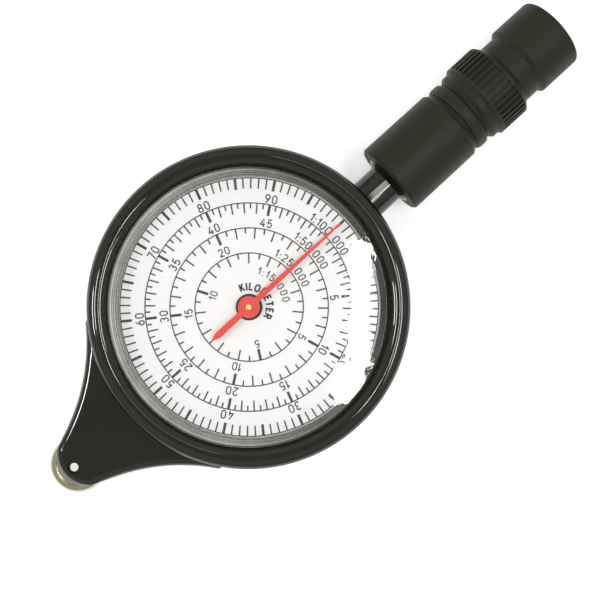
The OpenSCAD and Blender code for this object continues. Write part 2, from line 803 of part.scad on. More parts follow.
module bearing_plate() {
    color(case_color) difference() {
        pin(CENTRE, plate_r, plate_z, dial_z);
        pin(CENTRE, needle_arbor_r + run_gap, 0, rim_z);
        pin(SECOND, arbor_r, 0, rim_z);
        translate([-notch_w / 2, notch_y, 0]) cube([notch_w, case_r, rim_z]);
        for (at = CASE_SCREWS) pin(at, post_r + post_gap, 0, rim_z);
        for (a = PLATE_SCREW_ANGLES) {
            pin(polar(plate_screw_ring_r, a), screw_r, 0, rim_z);
            pin(polar(plate_screw_ring_r, a), plate_head_d / 2 + fit_gap, dial_z - plate_head_t, rim_z);
        }
    }
}

// Screw that holds the bearing plate on its post
module plate_screw(i) {
    at = polar(plate_screw_ring_r, PLATE_SCREW_ANGLES[i]);
    color(steel_color) translate([at.x, at.y, dial_z]) mirror([0, 0, 1])
        slotted_screw(screw_r, plate_head_d / 2, plate_head_t, dial_z - plate_z + plate_screw_l - 0.2);
}

// Screw from the back that joins the shells
module case_screw(i) {
    color(steel_color) translate([CASE_SCREWS[i].x, CASE_SCREWS[i].y, head_recess])
        slotted_screw(screw_r, screw_head_d / 2, screw_head_t, screw_top - head_recess - 0.2);
}

// ---- Wheel and gears ----

module wheel_axle() {
    color(steel_color) pin(WHEEL, axle_r, axle_bottom, axle_top);
}

module first_arbor() {
    color(steel_color) pin(FIRST, arbor_r, nose_floor - nose_t / 2, nose_roof);
}

module second_arbor() {
    color(steel_color) pin(SECOND, arbor_r, pivot_z, dial_z);
}

module measuring_wheel() {
    color(steel_color) translate([WHEEL.x, WHEEL.y, 0]) rotate_extrude() {
        bore = axle_r + run_gap;
        polygon([
            [bore, wheel_hub_z], [wheel_hub_r, wheel_hub_z], [wheel_hub_r, rim_mid - web_t / 2],
            [web_in_r, rim_mid - web_t / 2], [web_in_r, rim_mid - rim_w / 2],
            [wheel_r - tread_bevel, rim_mid - rim_w / 2], [wheel_r, rim_mid - tread_w / 2],
            [wheel_r, rim_mid + tread_w / 2], [wheel_r - tread_bevel, rim_mid + rim_w / 2],
            [web_in_r, rim_mid + rim_w / 2], [web_in_r, rim_mid + web_t / 2],
            [wheel_hub_r, rim_mid + web_t / 2], [wheel_hub_r, wheel_hub_top], [bore, wheel_hub_top]
        ]);
    }
}

module wheel_pinion() {
    color(brass_color) difference() {
        gear_blank(WHEEL, first_m, wheel_teeth, 0, wheel_pinion_z, wheel_hub_z);
        pin(WHEEL, axle_r + run_gap, 0, axis_z);
    }
}

module first_gear() {
    color(brass_color) difference() {
        gear_blank(FIRST, first_m, first_teeth, first_phase, first_gear_z, first_pinion_z);
        pin(FIRST, arbor_r + run_gap, 0, axis_z);
    }
}

module first_pinion() {
    color(steel_color) difference() {
        gear_blank(FIRST, second_m, pinion_teeth, 0, first_pinion_z, first_top);
        pin(FIRST, arbor_r + run_gap, 0, rim_z);
    }
}

module second_gear() {
    color(brass_color) difference() {
        gear_blank(SECOND, second_m, second_teeth, second_phase, second_gear_z, second_pinion_z);
        pin(SECOND, arbor_r + run_gap, 0, rim_z);
    }
}

module second_pinion() {
    color(steel_color) difference() {
        gear_blank(SECOND, centre_m, pinion_teeth, 0, second_pinion_z, second_top);
        pin(SECOND, arbor_r + run_gap, 0, rim_z);
    }
}

module centre_gear() {
    color(brass_color) difference() {
        union() {
            gear_blank(CENTRE, centre_m, centre_teeth, centre_phase, centre_gear_z, centre_gear_z + gear_t);
            pin(CENTRE, centre_boss_r, centre_hub_z, centre_top);
        }
        pin(CENTRE, needle_arbor_r, 0, rim_z);
    }
}

module needle_arbor() {
    color(brass_color) pin(CENTRE, needle_arbor_r, pivot_z + end_play, needle_arbor_top);
}

module needle() {
    color(needle_color) difference() {
        union() {
            pin(CENTRE, hub_d / 2, needle_hub_z, needle_hub_z + hub_t);
            translate([0, 0, needle_z]) linear_extrude(needle_t) polygon([
                [needle_w / 2, 0], [needle_tip_w / 2, needle_l], [-needle_tip_w / 2, needle_l],
                [-needle_w / 2, 0], [-tail_w / 2, 0], [-tail_end_w / 2, tail_point_l - tail_l],
                [0, -tail_l], [tail_end_w / 2, tail_point_l - tail_l], [tail_w / 2, 0]
            ]);
        }
        pin(CENTRE, needle_arbor_r, 0, bezel_top);
    }
}

// ---- Stem ----

module swivel_stem() {
    groove_in_r = plug_r + run_gap / 2 - ring_t;
    color(case_color) round_handle() difference() {
        polygon([
            [0, stem_head_y], [stem_head_d / 2, stem_head_y], [stem_head_d / 2, stem_head_y + stem_head_t],
            [neck_r, stem_head_y + stem_head_t], [neck_r, stem_start_y], [stem_r, stem_start_y],
            [stem_r, flare_y], [plug_r, flare_end_y], [plug_r, plug_end_y], [0, plug_end_y]
        ]);
        translate([groove_in_r, ring_y - ring_t / 2]) square([plug_r, ring_t]);
    }
}

module stem_ring() {
    color(rubber_color) round_handle()
        translate([plug_r + run_gap / 2 - ring_t / 2, ring_y]) circle(r = ring_t / 2);
}

// ---- Torch ----

module torch_barrel() {
    color(matte_color) round_handle() difference() {
        polygon([
            [0, partition_y], [mouth_r, partition_y], [mouth_r, torch_y],
            [barrel_d / 2 - mouth_bevel, torch_y], [barrel_d / 2, torch_y + mouth_bevel],
            [barrel_end_d / 2, bevel_y], [groove_r, groove_y], [groove_r, barrel_end_y],
            [spigot_r, barrel_end_y], [spigot_r, spigot_end_y], [cell_space_r, spigot_end_y],
            [cell_space_r, cell_space_y], [0, cell_space_y]
        ]);
        translate([band_seat_r, band_y - band_w / 2]) square([groove_r, band_w]);
    }
}

module band_ring() {
    edge_r = band_t / 2;
    crown = band_w / 2 - edge_r;
    color(matte_color) round_handle() translate([band_seat_r + edge_r, band_y]) {
        translate([-edge_r, -crown]) square([band_t, 2 * crown]);
        for (side = [-1, 1]) translate([0, side * crown]) circle(r = edge_r);
    }
}

module contact_cup() {
    wall = 0.3;
    color(steel_color) round_handle() polygon([
        [0, cell_space_y], [cell_space_r, cell_space_y], [cell_space_r, cell_space_y + wall],
        [cell_d / 4, cells_y], [0, cells_y]
    ]);
}

module button_cell(i) {
    y0 = cells_y + (i - 1) * cell_h;
    y1 = y0 + cell_h;
    color(steel_color) round_handle() polygon([
        [0, y0], [cell_d / 2 - cell_bevel, y0], [cell_d / 2, y0 + cell_bevel],
        [cell_d / 2, y1 - cell_bevel], [cell_d / 2 - cell_bevel, y1], [0, y1]
    ]);
}

module torch_head() {
    color(matte_color) difference() {
        round_handle() head_profile();
        rib_grooves();
    }
}

// Section of the torch's head
module head_profile() {
    difference() {
        union() {
            polygon([
                [0, head_y], [groove_r, head_y], [groove_r, head_bevel_y], [front_d / 2, step_y],
                [front_d / 2, collar_y], [collar_d / 2, collar_full_y], [collar_d / 2, collar_end_y],
                [waist_d / 2, waist_y], [waist_d / 2, waist_end_y], [front_d / 2, front_y],
                [front_d / 2, front_end_y - front_edge_r],
                [front_d / 2 - front_edge_r, front_end_y - front_edge_r],
                [front_d / 2 - front_edge_r, front_end_y], [0, front_end_y]
            ]);
            translate([front_d / 2 - front_edge_r, front_end_y - front_edge_r]) circle(r = front_edge_r);
        }
        translate([-over, head_y - over]) square([spigot_bore_r + over, spigot_end_y + fit_gap - head_y + over]);
        translate([-over, head_y]) square([board_seat_r + over, waist_end_y - head_y + over]);
        translate([-over, reflector_y]) square([lens_seat_r + over, front_end_y]);
    }
}

// Grooves that leave the ribs of the collar standing
module rib_grooves() {
    mouth_w = PI * collar_d / ribs - rib_w;
    floor_w = mouth_w - 2 * rib_flank;
    y0 = collar_full_y + rib_land;
    translate([0, y0, axis_z]) rotate([-90, 0, 0]) linear_extrude(collar_end_y - rib_land - y0)
        for (k = [0 : ribs - 1]) rotate([0, 0, 360 * (k + 0.5) / ribs]) polygon([
            [collar_d / 2 - rib_h, -floor_w / 2], [collar_d / 2 + over, -mouth_w / 2],
            [collar_d / 2 + over, mouth_w / 2], [collar_d / 2 - rib_h, floor_w / 2]
        ]);
}

module led_board() {
    color("darkgreen") round_handle() polygon([
        [0, cells_end_y + contact_gap], [led_r / 2, cells_end_y + contact_gap], [led_r / 2, board_y],
        [board_d / 2, board_y], [board_d / 2, board_y + board_t], [0, board_y + board_t]
    ]);
}

module led() {
    y0 = board_y + board_t;
    color("white") round_handle() {
        intersection() {
            union() {
                translate([0, y0]) square([led_flange_r, led_flange_t]);
                translate([0, y0]) square([led_r, led_h]);
                translate([0, y0 + led_h]) circle(r = led_r);
            }
            translate([0, y0]) square([led_flange_r, led_h + led_r]);
        }
    }
}

module reflector() {
    color(steel_color) round_handle() polygon([
        [led_r + fit_gap, reflector_y], [reflector_r, reflector_y], [reflector_r, lens_y],
        [reflector_r - reflector_wall, lens_y], [led_r + fit_gap, reflector_y + reflector_wall]
    ]);
}

module torch_lens() {
    color("white", 0.4) handle_bar(lens_seat_r, lens_y, lens_y + lens_t);
}

rear_shell();
front_shell();
bezel_ring();
crystal();
dial_plate();
dial_scale(0);  // scale_outer
dial_scale(1);  // scale_second
dial_scale(2);  // scale_third
dial_scale(3);  // scale_inner
bearing_plate();
plate_screw(0);  // plate_screw_1
plate_screw(1);  // plate_screw_2
plate_screw(2);  // plate_screw_3
plate_screw(3);  // plate_screw_4
case_screw(0);  // case_screw_1
case_screw(1);  // case_screw_2
case_screw(2);  // case_screw_3
case_screw(3);  // case_screw_4
wheel_axle();
first_arbor();
second_arbor();
measuring_wheel();
wheel_pinion();
first_gear();
first_pinion();
second_gear();
second_pinion();
centre_gear();
needle_arbor();
needle();
swivel_stem();
stem_ring();
torch_barrel();
band_ring();
contact_cup();
button_cell(1);  // button_cell_1
button_cell(2);  // button_cell_2
button_cell(3);  // button_cell_3
torch_head();
led_board();
led();
reflector();
torch_lens();
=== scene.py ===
import json
import math
import bmesh
import bpy
from mathutils import Matrix, Vector


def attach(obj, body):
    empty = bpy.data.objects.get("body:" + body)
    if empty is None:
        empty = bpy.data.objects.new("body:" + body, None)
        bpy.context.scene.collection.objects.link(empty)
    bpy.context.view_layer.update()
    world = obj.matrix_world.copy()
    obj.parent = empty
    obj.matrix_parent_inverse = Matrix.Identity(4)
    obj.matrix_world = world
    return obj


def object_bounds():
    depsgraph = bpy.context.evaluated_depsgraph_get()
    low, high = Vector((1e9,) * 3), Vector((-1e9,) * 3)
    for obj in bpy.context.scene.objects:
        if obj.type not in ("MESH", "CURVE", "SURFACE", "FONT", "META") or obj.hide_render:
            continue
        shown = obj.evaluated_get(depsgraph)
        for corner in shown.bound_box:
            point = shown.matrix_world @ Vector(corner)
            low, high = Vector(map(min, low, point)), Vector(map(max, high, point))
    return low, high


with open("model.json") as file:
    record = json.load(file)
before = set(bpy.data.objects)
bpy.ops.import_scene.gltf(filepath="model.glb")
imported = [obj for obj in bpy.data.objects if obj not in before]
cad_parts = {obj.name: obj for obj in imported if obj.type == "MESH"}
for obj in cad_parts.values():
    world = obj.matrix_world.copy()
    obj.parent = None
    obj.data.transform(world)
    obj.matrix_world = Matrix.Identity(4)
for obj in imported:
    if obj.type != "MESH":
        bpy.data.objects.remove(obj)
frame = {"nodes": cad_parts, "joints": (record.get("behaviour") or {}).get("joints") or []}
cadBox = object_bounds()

# Map measurer: a tracing wheel in the nose drives a red needle over a dial with four
# scales. The handle is a small twist-on torch. Blender works in metres, and the sizes
# in the dictionaries below are millimetres unless a note says otherwise.
mm = 0.001
nodes = frame["nodes"]
scene = bpy.context.scene


# The picture looks straight down on the dial, with the handle towards the top right.
# The turn is in degrees.
view = {"x": 4.0, "y": 5.82, "height": 153.7, "turn": 47.55, "lens": 63, "sensor": 36, "nearest": 5}

turn = math.radians(view["turn"])
imageRight = Vector((math.cos(turn), math.sin(turn), 0))
imageUp = Vector((-math.sin(turn), math.cos(turn), 0))
underCamera = Vector((view["x"], view["y"], 0))

cameraData = bpy.data.cameras.new("tableCamera")
cameraData.lens = view["lens"]
cameraData.sensor_width = view["sensor"]
cameraData.clip_start = view["nearest"] * mm
camera = bpy.data.objects.new("tableCamera", cameraData)
camera.location = Vector((view["x"], view["y"], view["height"])) * mm
camera.rotation_euler = (0, 0, turn)
scene.collection.objects.link(camera)
scene.camera = camera
scene.view_settings.view_transform = "Standard"
print("camera set")


def linearColour(hexText):
    # sRGB hex to the linear values that the shader takes
    parts = [int(hexText[i:i + 2], 16) / 255 for i in (1, 3, 5)]
    return tuple(c / 12.92 if c <= 0.04045 else ((c + 0.055) / 1.055) ** 2.4 for c in parts) + (1,)


def cellsOf(sizeMm):
    # Texture scale at which one cell of a pattern is sizeMm across
    return 1 / (sizeMm * mm)


def addNode(tree, kind, settings=None, links=None):
    # Adds a node. A setting is a socket's value where the name is a socket, or a property.
    node = tree.nodes.new(kind)
    for name, value in (settings or {}).items():
        if isinstance(name, int) or name in node.inputs:
            node.inputs[name].default_value = value
        else:
            setattr(node, name, value)
    for name, source in (links or {}).items():
        tree.links.new(source, node.inputs[name])
    return node


def noise(tree, place, sizeMm, detail):
    # Cloudy pattern with patches sizeMm across
    return addNode(tree, "ShaderNodeTexNoise", {"Scale": cellsOf(sizeMm), "Detail": detail},
                   {"Vector": place}).outputs["Fac"]


def ringNoise(tree, distance, spacingMm, detail):
    # Lines across one distance, spacingMm apart
    steps = calculate(tree, "MULTIPLY", distance, cellsOf(spacingMm))
    return addNode(tree, "ShaderNodeTexNoise", {"noise_dimensions": "1D", "Scale": 1, "Detail": detail},
                   {"W": steps}).outputs["Fac"]


def blend(tree, amount, first, second):
    # Mix of two colours, each a hex text or another node's output
    node = addNode(tree, "ShaderNodeMix", {"data_type": "RGBA"}, {0: amount})
    for socket, colour in ((6, first), (7, second)):
        if isinstance(colour, str):
            node.inputs[socket].default_value = linearColour(colour)
        else:
            tree.links.new(colour, node.inputs[socket])
    return node.outputs[2]


def spread(tree, value, fromRange, toRange):
    # Straight line that takes one range of values to another, and stops at its ends
    return addNode(tree, "ShaderNodeMapRange",
                   {"From Min": fromRange[0], "From Max": fromRange[1], "To Min": toRange[0],
                    "To Max": toRange[1]}, {"Value": value}).outputs["Result"]


def calculate(tree, operation, first, second, clamp=False):
    # Arithmetic on two values, where the second is a number or another node's output
    node = addNode(tree, "ShaderNodeMath", {"operation": operation, "use_clamp": clamp}, {0: first})
    if isinstance(second, (int, float)):
        node.inputs[1].default_value = second
    else:
        tree.links.new(second, node.inputs[1])
    return node.outputs["Value"]


def bumpOf(tree, height, depthMm, under=None):
    # Relief depthMm deep, laid over another relief where one is given
    links = {"Height": height}
    if under:
        links["Normal"] = under
    return addNode(tree, "ShaderNodeBump", {"Distance": depthMm * mm}, links).outputs["Normal"]


def newMaterial(name):
    material = bpy.data.materials.new(name)
    material.use_nodes = True
    tree = material.node_tree
    tree.nodes.clear()
    place = addNode(tree, "ShaderNodeTexCoord").outputs["Object"]
    return material, tree, place


def finishMaterial(tree, surface):
    addNode(tree, "ShaderNodeOutputMaterial", {}, {"Surface": surface})


def polishedAbs():
    # Black ABS, injection moulded in a polished steel mould: a deep gloss with a faint
    # orange peel, a few hair scratches, and dust that shows as soft pale specks
    look = {"dark": "#13180a", "light": "#171c0c", "cloud": 9, "ior": 1.52, "mirror": 0.5,
            "roughness": (0.03, 0.07), "cloudRange": (0.35, 0.7), "peel": 2.5, "peelDepth": 0.0016,
            "scratch": 0.3, "scratchStretch": 14, "scratchTurn": 0.7, "scratchDepth": 0.0003,
            "dust": 0.5, "dustRange": (0.74, 0.84), "dustAmount": (0, 0.35), "dustColour": "#2b2e26"}
    material, tree, place = newMaterial("polishedBlackAbs")
    cloud = noise(tree, place, look["cloud"], 4)
    specks = noise(tree, place, look["dust"], 1)
    dust = spread(tree, specks, look["dustRange"], look["dustAmount"])
    clean = blend(tree, cloud, look["dark"], look["light"])
    dusty = blend(tree, dust, clean, look["dustColour"])
    rough = spread(tree, cloud, look["cloudRange"], look["roughness"])
    peel = bumpOf(tree, noise(tree, place, look["peel"], 1), look["peelDepth"])
    stretched = addNode(tree, "ShaderNodeMapping",
                        {"Scale": (1, look["scratchStretch"], 1), "Rotation": (0, 0, look["scratchTurn"])},
                        {"Vector": place}).outputs["Vector"]
    hair = noise(tree, stretched, look["scratch"] * look["scratchStretch"], 2)
    relief = bumpOf(tree, hair, look["scratchDepth"], peel)
    shader = addNode(tree, "ShaderNodeBsdfPrincipled",
                     {"IOR": look["ior"], "Specular IOR Level": look["mirror"]},
                     {"Base Color": dusty, "Roughness": rough, "Normal": relief})
    finishMaterial(tree, shader.outputs["BSDF"])
    return material


def softTouchPaint():
    # ABS under a sprayed soft-touch polyurethane paint: velvety, with a fine grain, with painted
    # shade in its grooves, and paler on its edges, partly rubbed wear where fingers turn it and partly a
    # painted highlight on the crests
    look = {"dark": "#23281c", "light": "#2b3024", "wornAndLitEdge": "#31362b", "groove": "#1d2217", "ior": 1.5,
            "mirror": 0.15, "roughness": (0.42, 0.52), "cloudRange": (0.3, 0.7), "grain": 0.14,
            "grainDepth": 0.01, "cloud": 3.5, "edge": 0.25, "edgeRange": (0.99, 0.86),
            "edgeAmount": (0, 0.55), "reach": 0.9, "openRange": (0.35, 0.85)}
    material, tree, place = newMaterial("softTouchPaint")
    cloud = noise(tree, place, look["cloud"], 5)
    paint = blend(tree, cloud, look["dark"], look["light"])
    # Paler edges: rubbed wear, and a painted highlight where the crests would catch the light
    rounded = addNode(tree, "ShaderNodeBevel", {"samples": 4, "Radius": look["edge"] * mm})
    flat = addNode(tree, "ShaderNodeNewGeometry")
    straight = addNode(tree, "ShaderNodeVectorMath", {"operation": "DOT_PRODUCT"},
                       {0: rounded.outputs["Normal"], 1: flat.outputs["Normal"]}).outputs["Value"]
    edge = spread(tree, straight, look["edgeRange"], look["edgeAmount"])
    rubbedAndLit = calculate(tree, "MULTIPLY", edge, cloud)
    wornAndLitEdge = blend(tree, rubbedAndLit, paint, look["wornAndLitEdge"])
    # Painted shade: the colour darkens to the groove shade where ambient occlusion finds grooves and
    # recesses
    hollow = addNode(tree, "ShaderNodeAmbientOcclusion", {"samples": 6, "Distance": look["reach"] * mm})
    openness = spread(tree, hollow.outputs["AO"], look["openRange"], (0, 1))
    shaded = blend(tree, openness, look["groove"], wornAndLitEdge)
    rough = spread(tree, cloud, look["cloudRange"], look["roughness"])
    grain = bumpOf(tree, noise(tree, place, look["grain"], 3), look["grainDepth"])
    shader = addNode(tree, "ShaderNodeBsdfPrincipled",
                     {"IOR": look["ior"], "Specular IOR Level": look["mirror"]},
                     {"Base Color": shaded, "Roughness": rough, "Normal": grain})
    finishMaterial(tree, shader.outputs["BSDF"])
    return material


def clearPlastic(tree, look, relief):
    # Glassy shader of the two clear mouldings
    return addNode(tree, "ShaderNodeBsdfPrincipled",
                   {"Base Color": linearColour(look["colour"]), "IOR": look["ior"],
                    "Roughness": look["roughness"], "Transmission Weight": 1.0},
                   {"Normal": relief}).outputs["BSDF"]


def crystalAcrylic():
    # Clear acrylic, moulded, with its round wall turned on a lathe: the flat top is glassy
    # with a slow ripple that breaks up reflections, and the turned wall is silvery and
    # hazed with fine rings, with the haze painted stronger on the side towards the nose as painted light
    # falling on that side
    look = {"colour": "#fefefe", "ior": 1.49, "roughness": 0.03, "ripple": 3.2, "rippleDepth": 0.011,
            "wall": (17.8, 17.95), "ringSpacing": 0.24, "ringRange": (0.3, 0.7), "haze": (0.02, 0.84),
            "hazeColour": "#f3f1ea", "paintedLightDirection": (-0.6, -0.8, 0), "sideReach": 19,
            "sideAmount": (0.08, 1), "patch": 5, "patchRange": (0.3, 0.7), "patchAmount": (0.7, 1.2),
            "letPast": "#fdfdfd"}
    material, tree, place = newMaterial("turnedClearAcrylic")
    ripple = bumpOf(tree, noise(tree, place, look["ripple"], 2), look["rippleDepth"])
    glassy = clearPlastic(tree, look, ripple)
    axes = addNode(tree, "ShaderNodeSeparateXYZ", {}, {"Vector": place})
    level = addNode(tree, "ShaderNodeCombineXYZ", {}, {"X": axes.outputs["X"], "Y": axes.outputs["Y"]})
    radius = addNode(tree, "ShaderNodeVectorMath", {"operation": "LENGTH"},
                     {0: level.outputs["Vector"]}).outputs["Value"]
    onWall = spread(tree, radius, [r * mm for r in look["wall"]], (0, 1))
    # Painted light: the haze grows stronger towards the nose side of the wall, as if light falls there
    side = addNode(tree, "ShaderNodeVectorMath", {"operation": "DOT_PRODUCT", 1: look["paintedLightDirection"]},
                   {0: place}).outputs["Value"]
    reach = look["sideReach"] * mm
    paintedSideLight = spread(tree, side, (-reach, reach), look["sideAmount"])
    rings = ringNoise(tree, radius, look["ringSpacing"], 1)
    lines = spread(tree, rings, look["ringRange"], look["haze"])
    uneven = spread(tree, noise(tree, place, look["patch"], 3), look["patchRange"], look["patchAmount"])
    strength = calculate(tree, "MULTIPLY", calculate(tree, "MULTIPLY", lines, paintedSideLight), uneven)
    hazed = calculate(tree, "MULTIPLY", strength, onWall, True)
    haze = addNode(tree, "ShaderNodeBsdfDiffuse", {"Color": linearColour(look["hazeColour"])})
    wall = addNode(tree, "ShaderNodeMixShader", {}, {0: hazed, 1: glassy, 2: haze.outputs["BSDF"]})
    # Light that falls through the acrylic is let past, so that the dial stays white
    rays = addNode(tree, "ShaderNodeLightPath").outputs
    clear = addNode(tree, "ShaderNodeBsdfTransparent", {"Color": linearColour(look["letPast"])})
    past = calculate(tree, "MAXIMUM", rays["Is Shadow Ray"], rays["Is Diffuse Ray"])
    lit = addNode(tree, "ShaderNodeMixShader", {},
                  {0: past, 1: wall.outputs["Shader"], 2: clear.outputs["BSDF"]})
    finishMaterial(tree, lit.outputs["Shader"])
    return material


def lensPolycarbonate():
    # Clear polycarbonate, moulded: a small glassy disc with a faint ripple
    look = {"colour": "#f8fbfa", "ior": 1.58, "roughness": 0.02, "ripple": 1.5, "rippleDepth": 0.002}
    material, tree, place = newMaterial("mouldedPolycarbonate")
    ripple = bumpOf(tree, noise(tree, place, look["ripple"], 2), look["rippleDepth"])
    glassy = clearPlastic(tree, look, ripple)
    rays = addNode(tree, "ShaderNodeLightPath").outputs
    clear = addNode(tree, "ShaderNodeBsdfTransparent")
    lit = addNode(tree, "ShaderNodeMixShader", {},
                  {0: rays["Is Shadow Ray"], 1: glassy, 2: clear.outputs["BSDF"]})
    finishMaterial(tree, lit.outputs["Shader"])
    return material


def satinPrint(name, colour, shade, patch, roughness, ior, depth):
    # Smooth sheet or ink: one even colour with a very faint mottle and a soft sheen
    duller = (-0.06, 0.08)
    material, tree, place = newMaterial(name)
    mottle = noise(tree, place, patch, 4)
    rough = spread(tree, mottle, (0, 1), [roughness + change for change in duller])
    shader = addNode(tree, "ShaderNodeBsdfPrincipled", {"IOR": ior},
                     {"Base Color": blend(tree, mottle, colour, shade), "Roughness": rough,
                      "Normal": bumpOf(tree, mottle, depth)})
    finishMaterial(tree, shader.outputs["BSDF"])
    return material


def turnedMetal(name, colour, shade, roughness, lineSpacing, lineDepth, axis, centre=(0, 0, 0)):
    # Metal turned on a lathe: bright, with fine rings round its axis and small dull spots
    spotSize = 1.4
    duller = (0.7, 1.4)
    material, tree, place = newMaterial(name)
    moved = addNode(tree, "ShaderNodeVectorMath", {"operation": "SUBTRACT", 1: [c * mm for c in centre]},
                    {0: place}).outputs["Vector"]
    across = addNode(tree, "ShaderNodeVectorMath", {"operation": "MULTIPLY", 1: [1 - a for a in axis]},
                     {0: moved}).outputs["Vector"]
    radius = addNode(tree, "ShaderNodeVectorMath", {"operation": "LENGTH"}, {0: across}).outputs["Value"]
    along = addNode(tree, "ShaderNodeVectorMath", {"operation": "DOT_PRODUCT", 1: axis},
                    {0: moved}).outputs["Value"]
    rings = ringNoise(tree, calculate(tree, "ADD", radius, along), lineSpacing, 2)
    spots = noise(tree, place, spotSize, 3)
    rough = spread(tree, spots, (0, 1), [roughness * share for share in duller])
    shader = addNode(tree, "ShaderNodeBsdfPrincipled", {"Metallic": 1.0},
                     {"Base Color": blend(tree, spots, colour, shade), "Roughness": rough,
                      "Normal": bumpOf(tree, rings, lineDepth)})
    finishMaterial(tree, shader.outputs["BSDF"])
    return material


wheelJoint = next(joint for joint in frame["joints"] if joint["name"] == "wheel_spin")
wheelPlace = [c / mm for c in wheelJoint["pos_m"]]
# Axes that pieces are turned about: the arbors' and the handle's
upright = (0, 0, 1)
lengthwise = (0, 1, 0)
polishedBlack = polishedAbs()
softTouch = softTouchPaint()
crystalClear = crystalAcrylic()
lensClear = lensPolycarbonate()
# Dial: white PVC sheet, die cut, with a matt face
dialSheet = satinPrint("dieCutWhitePvc", "#fcfcfb", "#f8f8f6", 6, 0.5, 1.5, 0.002)
# Scales and numbers: dark brown-grey ink, screen printed
printInk = satinPrint("screenPrintedInk", "#241f1b", "#332d28", 0.5, 0.6, 1.5, 0.002)
# Needle: aluminium foil blank under red enamel
needleEnamel = satinPrint("redNeedleEnamel", "#d62a17", "#de3420", 1.5, 0.42, 1.5, 0.002)
# Plate under the dial: black acetal, moulded, with a dull face
plateAcetal = satinPrint("mouldedBlackAcetal", "#1a1b18", "#22231f", 0.7, 0.55, 1.48, 0.004)
# Seal on the plug: black nitrile rubber, moulded
sealRubber = satinPrint("mouldedNitrileRubber", "#1b1b1a", "#262624", 0.8, 0.65, 1.52, 0.006)
# Circuit board: green solder mask over glass epoxy
solderMask = satinPrint("greenSolderMask", "#1d6b3c", "#175a31", 0.6, 0.35, 1.52, 0.004)
# Lamp: clear epoxy, cast
castEpoxy = satinPrint("castClearEpoxy", "#e9ecec", "#dfe3e4", 1.2, 0.1, 1.54, 0.001)
# Tracing wheel: stainless steel, turned and lightly polished
turnedSteel = turnedMetal("turnedStainlessSteel", "#d2cebc", "#aeaa93", 0.17, 0.06, 0.0012, upright,
                          wheelPlace)
# Axle of the wheel: stainless steel, tumbled bright with a soft face
tumbledSteel = turnedMetal("tumbledStainlessSteel", "#ebe6da", "#dcd6c8", 0.42, 0.06, 0.0012, upright,
                           wheelPlace)
# Arbors inside the case: steel, turned
arborSteel = turnedMetal("turnedArborSteel", "#bcbec0", "#a9abad", 0.25, 0.05, 0.001, upright)
# Needle's arbor and the gears: brass, turned or stamped
turnedBrass = turnedMetal("turnedBrass", "#d3b46a", "#bd9a4f", 0.22, 0.05, 0.0012, upright)
# Screws: steel under black zinc plating
zincSteel = turnedMetal("blackZincPlatedSteel", "#6a6b6a", "#565756", 0.35, 0.05, 0.001, upright)
# Cells: nickel plated steel, drawn
nickelSteel = turnedMetal("nickelPlatedSteel", "#d6d5cf", "#c7c6c0", 0.18, 0.08, 0.0008, lengthwise)
# Reflector: plastic under vacuum-deposited aluminium
vacuumAluminium = turnedMetal("vacuumCoatedReflector", "#e9eaeb", "#dfe0e2", 0.08, 0.3, 0.0004, lengthwise)

nodeFinish = {
    "rear_shell": polishedBlack, "front_shell": polishedBlack, "bezel_ring": polishedBlack,
    "crystal": crystalClear, "dial_plate": dialSheet,
    "scale_outer": printInk, "scale_second": printInk, "scale_third": printInk, "scale_inner": printInk,
    "bearing_plate": plateAcetal,
    "plate_screw_1": zincSteel, "plate_screw_2": zincSteel,
    "plate_screw_3": zincSteel, "plate_screw_4": zincSteel,
    "case_screw_1": zincSteel, "case_screw_2": zincSteel,
    "case_screw_3": zincSteel, "case_screw_4": zincSteel,
    "wheel_axle": tumbledSteel, "measuring_wheel": turnedSteel,
    "first_arbor": arborSteel, "second_arbor": arborSteel,
    "wheel_pinion": turnedBrass, "first_gear": turnedBrass, "first_pinion": turnedBrass,
    "second_gear": turnedBrass, "second_pinion": turnedBrass, "centre_gear": turnedBrass,
    "needle_arbor": turnedBrass, "needle": needleEnamel,
    "swivel_stem": polishedBlack, "stem_ring": sealRubber,
    "torch_barrel": softTouch, "band_ring": softTouch, "torch_head": softTouch,
    "contact_cup": nickelSteel, "button_cell_1": nickelSteel, "button_cell_2": nickelSteel,
    "button_cell_3": nickelSteel, "led_board": solderMask, "led": castEpoxy,
    "reflector": vacuumAluminium, "torch_lens": lensClear,
}
for name, node in nodes.items():
    node.data.materials.clear()
    node.data.materials.append(nodeFinish[name])
print("materials on", len(nodes), "nodes")


# Width of the rounding in millimetres, and its number of faces. Edges that turn by more
# than sharperThan degrees get it.
roundings = {"front_shell": (0.32, 4), "rear_shell": (0.32, 4), "bezel_ring": (0.06, 2),
             "crystal": (0.08, 2), "measuring_wheel": (0.06, 2), "torch_barrel": (0.22, 3),
             "torch_head": (0.1, 2), "band_ring": (0.2, 3), "swivel_stem": (0.1, 2),
             "needle": (0.03, 2), "wheel_axle": (0.3, 5)}
sharperThan = 32

for name, (width, faces) in roundings.items():
    rounding = nodes[name].modifiers.new("rounding", "BEVEL")
    rounding.width = width * mm
    rounding.segments = faces
    rounding.limit_method = "ANGLE"
    rounding.angle_limit = math.radians(sharperThan)
    rounding.harden_normals = True
    rounding.use_clamp_overlap = True
print("edges rounded")


dialPrint = {"face": 8.9, "inkDepth": 0.03, "stroke": 0.14, "gap": 0.18, "space": 0.34}
